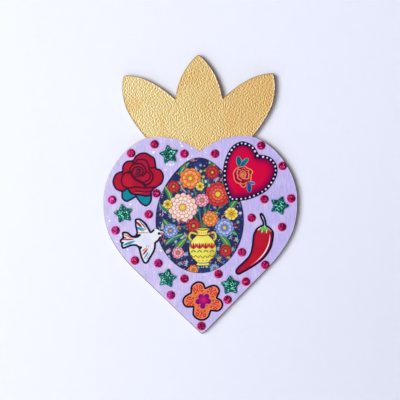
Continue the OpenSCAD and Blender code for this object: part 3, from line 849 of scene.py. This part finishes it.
def bouquet():
    """A jar of mixed flowers on a dark ground that is strewn with small sprigs."""
    art = Art("oval_print", 0.25, "242b5c")
    draw = np.random.default_rng(SEED)
    patch = ripple(art.x, art.z, 14, 14, 3)
    art.tint(0.6 * ramp(patch, 0.2, 0.9), "2b4480")
    art.tint(0.5 * ramp(-patch, 0.3, 0.9), "3a2143")
    spots = draw.uniform(-48, 48, (330, 2))
    dust = ["c4c8e0", "5f7fc0", "9a6a86", "a8946a"]
    for place in draw.uniform(-50, 50, (420, 2)):
        art.dots([place], draw.uniform(0.24, 0.4), draw.choice(dust), 0.8)
    kinds = draw.integers(0, 4, len(spots))
    tones = draw.choice(["c9cfe6", "8fb0c9", "d98ba0", "cdb25a", "5f8ad0", "5a9a96"], len(spots))
    for place, kind, tone in zip(spots, kinds, tones):
        turn = draw.uniform(0, 2 * math.pi)
        arm = np.array([math.cos(turn), math.sin(turn)])
        if kind == 0:
            ring = turn + np.arange(5) * 2 * math.pi / 5
            petals = np.stack([np.cos(ring), np.sin(ring)], 1) * 0.75 * 100 / art.size
            art.dots(place + petals, 0.45, tone, 0.9)
            art.dots([place], 0.35, "e8d27a")
        elif kind == 1:
            art.line([place - 2.4 * arm, place, place + 2.4 * arm], 0.4, tone, 0.3)
            side = np.array([-arm[1], arm[0]])
            for step in (-1.2, 0.4, 2.0):
                foot = place + step * arm
                for hand in (-1, 1):
                    art.line([foot, foot + 1.1 * arm + 1.5 * hand * side], 0.4, tone, 0.3)
        elif kind == 2:
            art.dots(place + np.outer((-1.6, 0, 1.6), arm), 0.4, tone)
        else:
            art.dots([place], draw.uniform(0.3, 0.55), tone, 0.9)
    stems = [((3, -12), tip) for tip in (
        (-14, 4), (17, 16), (-8, 30), (28, -6), (-30, -12), (12, 36), (-27, 22), (34, 12))]
    for foot, tip in stems:
        art.line([foot, (foot[0] * 0.5 + tip[0] * 0.5, foot[1] * 0.5 + tip[1] * 0.5 + 3), tip],
                 0.8, "3f7d4a")
    for base, tip, width, bend, tone in (
            ((-22, -14), (-42, -2), 4.2, 0.1, "3d7f4f"), ((-18, -16), (-40, -26), 4.2, -0.1, "2f7a63"),
            ((-14, -19), (-30, -37), 4.4, -0.1, "4b8d47"), ((20, -12), (43, -18), 4.6, 0.1, "35806a"),
            ((20, -16), (34, -34), 4.4, 0.12, "4a8a45"), ((34, 2), (44, 14), 4.0, 0.1, "3d7f4f"),
            ((26, 24), (36, 34), 4.0, 0.1, "2f7a63"), ((4, 38), (20, 46), 3.8, -0.1, "4b8d47"),
            ((-22, 34), (-10, 46), 3.8, 0.1, "35806a"), ((-32, 12), (-40, 26), 3.8, -0.1, "4a8a45"),
            ((2, 20), (4, 32), 3.6, 0.0, "3f8a58"), ((-30, 2), (-44, 10), 3.6, 0.0, "2f7a63"),
            ((8, -2), (22, 2), 3.4, 0.1, "4b8d47"), ((-2, -6), (-16, -12), 3.4, 0.1, "3d7f4f")):
        art.leaf(base, tip, width, tone, bend)
    red = [("7c1230", "c8333c"), ("a51c34", "dd4b45"), ("c43a2c", "ef7a52")]
    crimson = [("8a1232", "b9283f"), ("9e1836", "d2423f")]
    peach = [("d98a8e", "f3c9bd"), ("e79f97", "f8ddd2"), ("ef8f8a", "fbe6dc")]
    orange = [("c8472c", "ee7d45"), ("dd6a35", "f7a860")]
    blue = [("3b55a0", "7f97da"), ("5a74c2", "b4c4f2")]
    pink = [("b73a6a", "ec94b4"), ("cf5f88", "f6bccd")]
    yellow = [("d8a531", "f3e070")]
    for place, radius, petals, tones, turn in (
            ((-10, 32), 7.6, 9, orange, 0.2), ((15, 37), 5.0, 8, crimson, 0.5),
            ((21, 18), 9.0, 11, red, 0.1), ((-19, 7), 10.4, 13, peach, 0.3),
            ((-29, 25), 4.4, 7, crimson, 0.4), ((36, 1), 4.6, 8, yellow, 0.0),
            ((28, -11), 6.8, 10, blue, 0.2), ((-33, -13), 5.2, 9, blue, 0.6),
            ((3, 13), 4.8, 8, pink, 0.1), ((-7, -9), 5.0, 9, crimson, 0.9),
            ((12, -3), 5.6, 9, orange, 0.7), ((36, 25), 3.2, 7, pink, 0.3),
            ((-36, 10), 3.2, 7, yellow, 0.2), ((1, 25), 3.0, 7, yellow, 0.2),
            ((-25, -32), 4.2, 8, pink, 0.5), ((29, -31), 4.4, 8, crimson, 0.2),
            ((-8, -47), 3.6, 8, orange, 0.1), ((16, -46), 3.4, 8, blue, 0.1)):
        art.bloom(place, radius, petals, tones, turn)
    jar(art)
    berries = [(-22, -4), (-24, -7), (-19, -6), (40, -8), (42, -11), (24, 31), (27, 33), (-16, 43),
               (-42, -20), (-40, -23), (12, -15), (14, -18), (40, 18), (-12, 20), (-10, 17)]
    art.dots(berries, 0.85, "2a0f24")
    art.dots(berries, 0.62, "d8443e")
    art.border(0.35, "161a30")
    add_print(art, "bouquet_card")


def jar(art):
    """A round yellow jar with two ears, a flared mouth and painted bands."""
    ink = "1c1a30"
    for hand in (-1, 1):
        ear = [(3 + hand * 7, -16), (3 + hand * 13, -15), (3 + hand * 15, -19), (3 + hand * 11, -23)]
        art.line(ear, 2.2, ink)
        art.line(ear, 1.3, "d8c94e")
    left = np.array([(-7, -11.5), (-5.5, -14), (-6, -17), (-12, -22), (-15, -29), (-12, -36),
                     (-6, -40.5), (-6.5, -43)])
    body = np.concatenate([left, left[::-1] * (-1, 1)]) + (3, 0)
    art.fill((body - (3, -28)) * (1.05, 1.04) + (3, -28), ink)
    art.fill(body, "e6df5c")
    art.glow((-3, -24), 3.2, "f4f09a", 0.7, body)
    art.glow((14, -33), 3.4, "c8b441", 0.8, body)
    art.line([(-3.5, -12), (3, -12.8), (9.5, -12)], 0.9, "b23a3a")
    art.line([(-3, -17), (3, -17.6), (9, -17)], 0.8, "a83244")
    art.dots([(-1, -15), (1.7, -15.2), (4.3, -15.2), (7, -15)], 0.35, "3f7d4a")
    for x in (-7.5, -0.5, 6.5, 13.5):
        for hand in (-1, 1):
            art.blade((x, -29), (x + 2.6 * hand, -24), 1.7, "c2383c", -0.15 * hand)
        art.blade((x, -29), (x, -23.5), 1.3, "8c1f38")
        for hand in (-1, 1):
            art.blade((x, -30), (x + 2.8 * hand, -32), 1.0, "4b8d47")
    levels = [-34.5, -36, -34.8, -36.6, -35, -37, -35, -36.6, -34.8, -36, -34.5]
    art.line(np.stack([np.linspace(-10, 16, len(levels)), levels], 1), 0.55, "8c1f38")
    art.dots([(-6, -38), (-1.5, -39), (3, -39.3), (7.5, -39), (12, -38)], 0.42, "c2383c")
    art.line([(-3, -41), (3, -41.4), (9, -41)], 0.7, "3f6f9f")


# Paint, flakes, stars and stones

LOBE_MIDDLE = 30
LOBE_TOP = -8.6
NOTCH_DROP = 10.8
NOTCH_BOW = 2.2
COAT_CELL = 0.7

# How many flakes lie on the lilac, their thickness and the level of their faces over it
FLAKE_COUNT = 150
FLAKE_THICK = 0.05
FLAKE_LIFT = 0.06

# A star's grid; how deep its crust lies in the foam and how rough it is; how far the
# crust falls towards the star's edge, and the width of the strip where it falls
STAR_CELL = 0.54
CRUST_DEPTH = 0.09
CRUST_ROUGH = 0.08
CRUST_FALL = 0.4
CRUST_RIM = 0.8


def gold_line(x):
    """Level where lilac meets gold: a lobe on each side, and a notch in the middle that
    drops with a power of the distance from a lobe's middle."""
    away = np.abs(LOBE_MIDDLE - np.abs(x)) / LOBE_MIDDLE
    wobble = 0.3 * ripple(x, 0 * x, 9, 9, 11)
    return LOBE_TOP - NOTCH_DROP * away ** NOTCH_BOW + wobble


def facing(rim, x, z, right, up):
    """How far the nearest edge faces a way: the fall of the depth along it."""
    right, up = 0.3 * right, 0.3 * up
    fall = depth_in(rim, x - right, z - up) - depth_in(rim, x + right, z + up)
    return np.clip(fall / 0.6, 0, 1)


def coats():
    """The two coats of paint on the board's face, the lilac a little over the gold. Both
    stop short of the board's edge, further where it faces right or down, so the dark board shows there
    as painted shade."""
    outline = front_rim("board")
    low, high = outline.min((0, 1)), outline.max((0, 1))

    def on_face(x, z, shade_rim_right):
        right, down = facing(outline, x, z, 1, 0), facing(outline, x, z, 0, -1)
        # Painted shade: where an edge faces right or down, a wider bare rim shows the dark board
        bare = BARE_RIM + shade_rim_right * right + SHADE_RIM_BELOW * down * (1 - right)
        return depth_in(outline, x, z) - bare

    crown = Lattice(
        lambda x, z: np.minimum(on_face(x, z, CROWN_SHADE_RIM_RIGHT), z - gold_line(x) + 0.6),
        np.array([low[0], LOBE_TOP - NOTCH_DROP - 2]), high, COAT_CELL)
    x, z = crown.x, crown.z
    depth = depth_in(outline, x, z)
    right = facing(outline, x, z, 1, 0)
    edge = 1 - ramp(np.minimum(depth, z - gold_line(x)), 0.2, 2.2)
    tone = blend("dfcb90", "deb874", ramp(x + 0.3 * z, -50, 60))
    tone = blend(tone, "ddae62", 0.35 * ramp(ripple(x, z, 22, 30, 5), 0.1, 0.9))
    tone = blend(tone, "dc9a50", 0.5 * edge * ramp(ripple(x, z, 12, 12, 6), -0.3, 0.6))
    tone = blend(tone, "a58a5a", 0.7 * (1 - ramp(depth, 0.3, 1.0)) * (right < 0.2))
    # Painted highlight: a cream band just inside the edges that face right
    tone = blend(tone, "ffeac4", 0.9 * (1 - ramp(depth, 1.1, 1.9)) * right)
    add_slab("gold_coat", crown, BOARD_FACE - GOLD_COAT, BOARD_FACE, tone, "7a5a2a",
             GOLD)
    heart = Lattice(
        lambda x, z: np.minimum(on_face(x, z, HEART_SHADE_RIM_RIGHT), gold_line(x) - z),
        low, np.array([high[0], LOBE_TOP + 2]), COAT_CELL)
    x, z = heart.x, heart.z
    depth = depth_in(outline, x, z)
    tone = blend("c5bceb", "beb3ee", ramp(x, -50, 60))
    tone = blend(tone, "d3c8ea", 0.6 * ramp(ripple(x, z, 9, 26, 8), 0.0, 1.0))
    tone = blend(tone, "b7afe3", 0.5 * ramp(ripple(x, z, 12, 18, 9), 0.2, 1.0))
    right = facing(outline, x, z, 1, 0)
    # A paler, greyer band along edges that don't face right: partly the thinner paint over the rounded
    # edge, partly painted light where that edge faces the lamp
    painted_edge_light = (1 - ramp(depth + 0.4 * ripple(x, z, 3, 5, 10), 0.5, 1.6)) * (right < 0.1)
    tone = blend(tone, "cdc5dc", 0.6 * painted_edge_light)
    # Painted highlight: a pale band just inside the edges that face right
    tone = blend(tone, "dfd2f8", 0.8 * (1 - ramp(depth, 0.6, 1.4)) * right)
    # Painted light: the pink that a stone's foil would throw on the paint round it, most at its lower
    # left, with a thin dark pink ring at its rim
    for name in STONES:
        a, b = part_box(name)
        cx, cz = (a.x + b.x) / 2 / MM, (a.z + b.z) / 2 / MM
        away = np.hypot(x - cx, z - cz)
        rim = away - (b.x - a.x) / 2 / MM
        lit = 0.6 - 0.35 * (0.9 * (x - cx) + 0.4 * (z - cz)) / (away + 0.1)
        tone = blend(tone, "f09ce6", lit * np.exp(-(np.maximum(rim, 0) / 0.85) ** 2))
        tone = blend(tone, "b8388f", 0.7 * (1 - ramp(rim, 0.1, 0.35)))
    add_slab("lilac_coat", heart, BOARD_FACE - LILAC_COAT, BOARD_FACE, tone, "8f86ad",
             LILAC)
    return outline


def flakes(outline, covered):
    """Six-sided flakes strewn over the lilac, clear of what is glued on it."""
    draw = np.random.default_rng(SEED + 1)
    x, z = draw.uniform(-69, 69, 2600), draw.uniform(-148, -10, 2600)
    free = (depth_in(outline, x, z) > 1.6) & (z < gold_line(x) - 1.5)
    for rim in covered:
        free &= depth_in(rim, x, z) < -0.9
    x, z = x[free][:FLAKE_COUNT], z[free][:FLAKE_COUNT]
    n = len(x)
    radius = 0.27 + 0.5 * draw.random((n, 1)) ** 3
    angle = draw.uniform(0, 6, n)[:, None] + np.arange(6) * math.pi / 3
    lean = draw.uniform(-0.07, 0.07, (2, n, 1))
    dx, dz = radius * np.cos(angle), radius * np.sin(angle)
    level = BOARD_FACE - LILAC_COAT - FLAKE_LIFT + lean[0] * dx + lean[1] * dz
    front = np.stack([x[:, None] + dx, level, z[:, None] + dz], -1)
    back = front + (0, FLAKE_THICK, 0)
    places = np.concatenate([front, back], 1).reshape(-1, 3)
    k = np.arange(6)
    start = 12 * np.arange(n)[:, None]
    lids = np.concatenate([start + k, start + 6 + k[::-1]])
    sides = (start[:, :, None] + np.stack([(k + 1) % 6, k, k + 6, (k + 1) % 6 + 6], 1)).reshape(-1, 4)
    picks = np.where(radius[:, 0] > 0.4, 0, draw.integers(0, 6, n))
    tints = np.array([shade(c) for c in ("fdfbff", "f3dbe6", "e6dcc0", "a9a2bd", "d8cca0", "dff2f2")])
    # Painted shade: the flakes grow greyer and more olive to the right, away from the lamp
    tints = blend(tints[picks], "b5ab9c", 0.6 * ramp(x, -10, 40))
    tones = np.concatenate([np.tile(tints, (2, 1)), np.repeat(tints, 6, 0)])
    counts = np.concatenate([np.full(2 * n, 6), np.full(6 * n, 4)])
    add_piece("paint_flakes", places, np.concatenate([lids.ravel(), sides.ravel()]), counts,
              np.ones(len(counts), bool), tones, "FACE", FLAKE)


def glitter_star(name):
    """A foam star whose face is a crust of tilted flakes: each grid point's level is drawn
    by chance, and each facet's green too."""
    draw = np.random.default_rng(SEED + int(name.split("_")[1]))
    outline = front_rim(name)
    net = Lattice(lambda x, z: depth_in(outline, x, z), outline.min((0, 1)),
                  outline.max((0, 1)), STAR_CELL)
    depth = depth_in(outline, net.x, net.z)
    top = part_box(name)[0].y / MM
    rough = CRUST_ROUGH * draw.uniform(-1, 1, len(net.x))
    front = top + CRUST_DEPTH + rough + CRUST_FALL * (1 - ramp(depth, 0, CRUST_RIM))
    # The palest, mint tone stands for the flakes' painted glints
    greens = np.array([shade(c) for c in ("02302c", "055044", "0a6a58", "28aa8e", "90fce0", "0c546c")])
    picks = draw.choice(6, len(net.counts), p=(0.37, 0.21, 0.13, 0.09, 0.12, 0.08))
    tones = greens[picks]
    first = net.corners[np.cumsum(net.counts) - net.counts]
    tones = blend(tones, "0a5e72", 0.65 * (1 - ramp(depth[first], 0.2, 1.4)))
    piece = add_slab("glitter_" + name, net, front, BOARD_FACE, tones, "11493f", GLITTER,
                     grain=True)
    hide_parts(name)
    return outline


def paint_nodes():
    """Finishes of the nodes that stay as they are."""
    ruby = ruby_stone("ruby_stone", "500030", "bc024e", "ff5cb0")
    pink = ruby_stone("pink_stone", "6c0048", "c00c7c", "ff78d0")
    finishes = dict.fromkeys(STONES, ruby)
    finishes |= dict.fromkeys(("stone_13", "stone_14", "stone_16", "stone_17"), pink)
    finishes["board"] = board_wood()
    finishes["sawtooth_hanger"] = stamped_brass("stamped_brass", "c7a765", "8f7138")
    finishes["hanger_pins"] = stamped_brass("pin_brass", "d8bd7c", "a58748")
    for name, material in finishes.items():
        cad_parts[name].material_slots[0].material = material


PRINTED = printed_card()
LILAC = lilac_paint()
GOLD = gold_paint()
GLITTER = glitter_foam()
FLAKE = iridescent_flake()

board_outline = coats()
oval_rim = front_rim("oval_print")
bouquet()
rose()
beaded_heart(oval_rim)
dove(oval_rim)
chili()
flower()
star_rims = [glitter_star(name) for name in STARS]
print_rims = [front_rim(name) for name in (
    "oval_print", "rose_print", "beaded_heart_print", "dove_print", "chili_print", "flower_print")]
stone_rims = [front_rim(name) for name in STONES]
flakes(board_outline, print_rims + star_rims + stone_rims)
paint_nodes()


# Stage, light and camera

def staged_plane(name, corners, material):
    mesh = bpy.data.meshes.new(name)
    mesh.from_pydata(corners, [], [(0, 1, 2, 3)])
    mesh.materials.append(material)
    plane = put(name, mesh)


# Reach of the wall's painted shade to the right and down, in mm
WALL_SHADE_ACROSS = (-140, 140)
WALL_SHADE_DOWN = (90, -190)


def wall_paper():
    """Pale wall: it takes shadow where the camera sees it, glows for all other rays to light
    what hangs before it like a lit wall, and isn't there from behind. Its colour carries
    painted shade: greyer downwards, most at the right, and bluer at the right."""
    s = Shader("wall_paper")
    seen = s.node("LightPath", None, None, "Is Camera Ray")
    behind = s.node("NewGeometry", None, None, "Backfacing")
    place = s.place()
    right = s.part(place, "X").between(*WALL_SHADE_ACROSS)
    down = s.part(place, "Z").between(*WALL_SHADE_DOWN)
    grain = s.noise((9, 9, 9), 2)
    # Painted shade: greyer downwards, most at the right, and bluer at the right
    tone = (1 - down * (0.03 + 0.05 * right)) * (0.985 + 0.03 * grain)
    colour = s.lit(s.mix(right, (0.85, 0.878, 0.975), (0.866, 0.893, 1.05)), tone)
    paper = s.node("BsdfDiffuse", None, {"Color": colour})
    # A glow, though the wall is no lamp: all rays but the camera's see it lit
    lit = s.node("Emission", None, {"Color": (0.85, 0.89, 1.0, 1.0), "Strength": 0.8})
    front = s.node("MixShader", None, {0: seen, 1: lit, 2: paper})
    clear = s.node("BsdfTransparent")
    both = s.node("MixShader", None, {0: behind, 1: front, 2: clear})
    s.node("OutputMaterial", None, {"Surface": both})
    return s.material


def floor_paper():
    s = Shader("floor_paper")
    grain = s.noise((9, 9, 9), 2)
    paper = s.node("BsdfDiffuse", None, {"Color": s.lit((0.88, 0.9, 0.95), 0.985 + 0.03 * grain)})
    s.node("OutputMaterial", None, {"Surface": paper})
    return s.material


WALL_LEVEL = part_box("sawtooth_hanger")[1].y + 0.0002
FLOOR_LEVEL = -0.5
staged_plane("wall", [(-1.5, WALL_LEVEL, FLOOR_LEVEL), (1.5, WALL_LEVEL, FLOOR_LEVEL),
                      (1.5, WALL_LEVEL, 1.2), (-1.5, WALL_LEVEL, 1.2)], wall_paper())
staged_plane("floor", [(-3, -3, FLOOR_LEVEL), (3, -3, FLOOR_LEVEL), (3, 3, FLOOR_LEVEL),
                       (-3, 3, FLOOR_LEVEL)], floor_paper())

# The frame is 400 pixels of 0.717 mm, and its middle falls on this point of the ornament
FRAME_WIDTH = 0.2869
VIEW_MIDDLE = (-0.0004, BOARD_FACE * MM, -0.0541)
VIEW_ROLL = math.radians(0.77)
LENS, SENSOR = 85, 36
camera_data = bpy.data.cameras.new("camera")
camera_data.lens = LENS
camera_data.sensor_width = SENSOR
camera = put("camera", camera_data)
away = FRAME_WIDTH * LENS / SENSOR
camera.location = (VIEW_MIDDLE[0], VIEW_MIDDLE[1] - away, VIEW_MIDDLE[2])
camera.rotation_euler = (math.pi / 2, VIEW_ROLL, 0)
bpy.context.scene.camera = camera

KEY_AWAY = 1.8
KEY_SIZE = 1.0
KEY_WATTS = 31.8
KEY_SIDE = math.radians(-27.5)
KEY_RISE = math.radians(1)
key_data = bpy.data.lights.new("window", "AREA")
key_data.shape = "SQUARE"
key_data.size = KEY_SIZE
key_data.energy = KEY_WATTS
key_data.color = (1.0, 0.985, 0.955)
key = put("window", key_data)
key.rotation_euler = (math.pi / 2 - KEY_RISE, 0, KEY_SIDE)
key.location = (
    VIEW_MIDDLE[0] + KEY_AWAY * math.sin(KEY_SIDE) * math.cos(KEY_RISE),
    VIEW_MIDDLE[1] - KEY_AWAY * math.cos(KEY_SIDE) * math.cos(KEY_RISE),
    VIEW_MIDDLE[2] + KEY_AWAY * math.sin(KEY_RISE))

world = bpy.data.worlds.new("studio")
world.use_nodes = True
bpy.context.scene.world = world
world_nodes = world.node_tree.nodes
world_nodes["Background"].inputs["Color"].default_value = (0.74, 0.8, 1.0, 1.0)
world_nodes["Background"].inputs["Strength"].default_value = 0.045

bpy.context.scene.view_settings.view_transform = "Standard"
